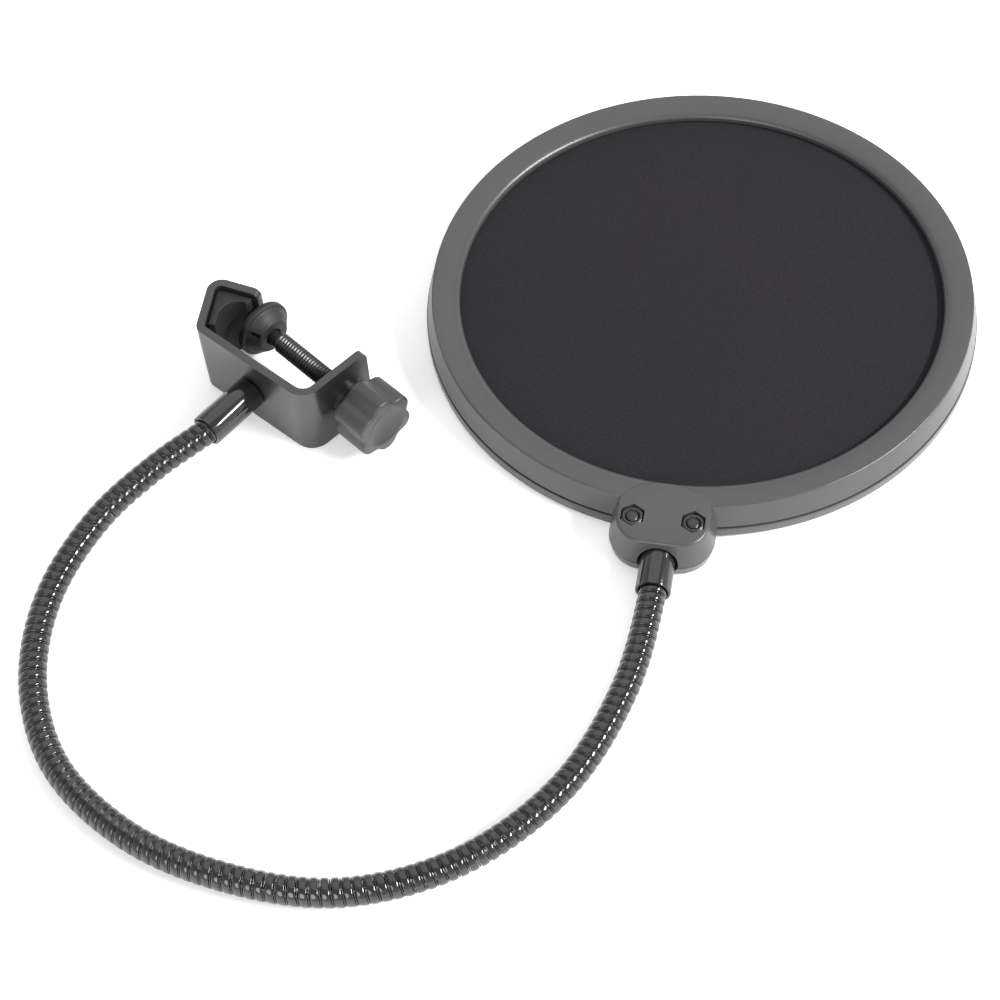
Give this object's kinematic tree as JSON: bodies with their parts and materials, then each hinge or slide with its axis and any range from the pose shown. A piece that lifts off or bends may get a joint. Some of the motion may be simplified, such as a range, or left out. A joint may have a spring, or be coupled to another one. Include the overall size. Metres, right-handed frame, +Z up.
{
  "type": "pop filter",
  "caption": "Double nylon mesh screen in a round plastic hoop on a flexible gooseneck, with a V-jaw screw clamp that grips a microphone stand.",
  "frame": {"origin": "middle of the footprint of the filter lying on its back, on the plane the hoop and the clamp rest on", "axes": "+Z up, out of the front of the screen; +Y from the clamp end towards the hoop; +X to the right"},
  "size_m": [0.179, 0.3004, 0.0235],
  "materials": {
    "hoop_plastic": "satin black injection-moulded plastic, finely textured",
    "nylon_mesh": "fine woven charcoal nylon",
    "black_steel": "black oxide, lightly oiled",
    "gloss_black_metal": "gloss black plating over steel",
    "satin_black_paint": "smooth satin black paint on steel strip",
    "rubber": "matt black moulded rubber",
    "knob_plastic": "satin black moulded plastic"
  },
  "bodies": {
    "clamp": {"clamp_bracket": "satin_black_paint", "jaw_pad": "rubber", "clamp_ferrule": "gloss_black_metal", "ferrule_screw": "black_steel", "neck_link_00": "gloss_black_metal"},
    "foot": {"pressure_foot": "rubber"},
    "screw": {"thumb_screw": "black_steel", "knob": "knob_plastic"},
    "neck_1": {"neck_link_01": "gloss_black_metal"},
    "neck_2": {"neck_link_02": "gloss_black_metal"},
    "neck_3": {"neck_link_03": "gloss_black_metal"},
    "neck_4": {"neck_link_04": "gloss_black_metal"},
    "neck_5": {"neck_link_05": "gloss_black_metal"},
    "neck_6": {"neck_link_06": "gloss_black_metal"},
    "neck_7": {"neck_link_07": "gloss_black_metal"},
    "neck_8": {"neck_link_08": "gloss_black_metal"},
    "neck_9": {"neck_link_09": "gloss_black_metal"},
    "hoop": {"neck_link_10": "gloss_black_metal", "hoop_ferrule": "gloss_black_metal", "front_rim": "hoop_plastic", "back_rim": "hoop_plastic", "spacer_ring": "hoop_plastic", "front_mesh": "nylon_mesh", "back_mesh": "nylon_mesh", "tab_screw_left": "black_steel", "tab_screw_right": "black_steel", "tab_nut_left": "black_steel", "tab_nut_right": "black_steel"}
  },
  "joints": [
    {"name": "foot_slide", "type": "slide", "parent": "clamp", "child": "foot", "axis": [-0.9962, 0.0872, 0], "range_m": [-0.022, 0]},
    {"name": "screw_turn", "type": "hinge", "parent": "foot", "child": "screw", "pos_m": [-0.03945, -0.01765, 0.01175], "axis": [-0.9962, 0.0872, 0], "range_deg": [-7920, 0]},
    {"name": "neck_bend_1", "type": "hinge", "parent": "clamp", "child": "neck_1", "pos_m": [-0.06448, -0.06602, 0.01104], "axis": [-0.0075, -0.0635, 0.998], "range_deg": [-25, 15]},
    {"name": "neck_bend_2", "type": "hinge", "parent": "neck_1", "child": "neck_2", "pos_m": [-0.06407, -0.09748, 0.00823], "axis": [-0.9794, -0.2018, 0], "range_deg": [-20, 20]},
    {"name": "neck_bend_3", "type": "hinge", "parent": "neck_2", "child": "neck_3", "pos_m": [-0.05052, -0.12571, 0.00562], "axis": [0.0384, -0.0454, 0.9982], "range_deg": [-25, 10]},
    {"name": "neck_bend_4", "type": "hinge", "parent": "neck_3", "child": "neck_4", "pos_m": [-0.02474, -0.14362, 0.00442], "axis": [0.0197, -0.0068, 0.9998], "range_deg": [-25, 5]},
    {"name": "neck_bend_5", "type": "hinge", "parent": "neck_4", "child": "neck_5", "pos_m": [0.0067, -0.1459, 0.0042], "axis": [0.1322, -0.9912, 0], "range_deg": [-20, 20]},
    {"name": "neck_bend_6", "type": "hinge", "parent": "neck_5", "child": "neck_6", "pos_m": [0.03687, -0.13635, 0.00435], "axis": [-0.0058, -0.0027, 1], "range_deg": [-25, 2]},
    {"name": "neck_bend_7", "type": "hinge", "parent": "neck_6", "child": "neck_7", "pos_m": [0.06187, -0.11724, 0.00459], "axis": [-0.0053, -0.0066, 1], "range_deg": [-25, 1]},
    {"name": "neck_bend_8", "type": "hinge", "parent": "neck_7", "child": "neck_8", "pos_m": [0.07588, -0.08901, 0.00486], "axis": [0.9695, -0.2452, 0], "range_deg": [-20, 20]},
    {"name": "neck_bend_9", "type": "hinge", "parent": "neck_8", "child": "neck_9", "pos_m": [0.07753, -0.0575, 0.00509], "axis": [0.001, -0.0064, 1], "range_deg": [-25, 1]},
    {"name": "neck_bend_10", "type": "hinge", "parent": "neck_9", "child": "hoop", "pos_m": [0.06851, -0.02714, 0.00525], "axis": [0.0015, -0.0033, 1], "range_deg": [-25, 1]}
  ],
  "couplings": [
    {"joint": "foot_slide", "follows": "screw_turn", "m_per_rad": 0.00015915}
  ]
}
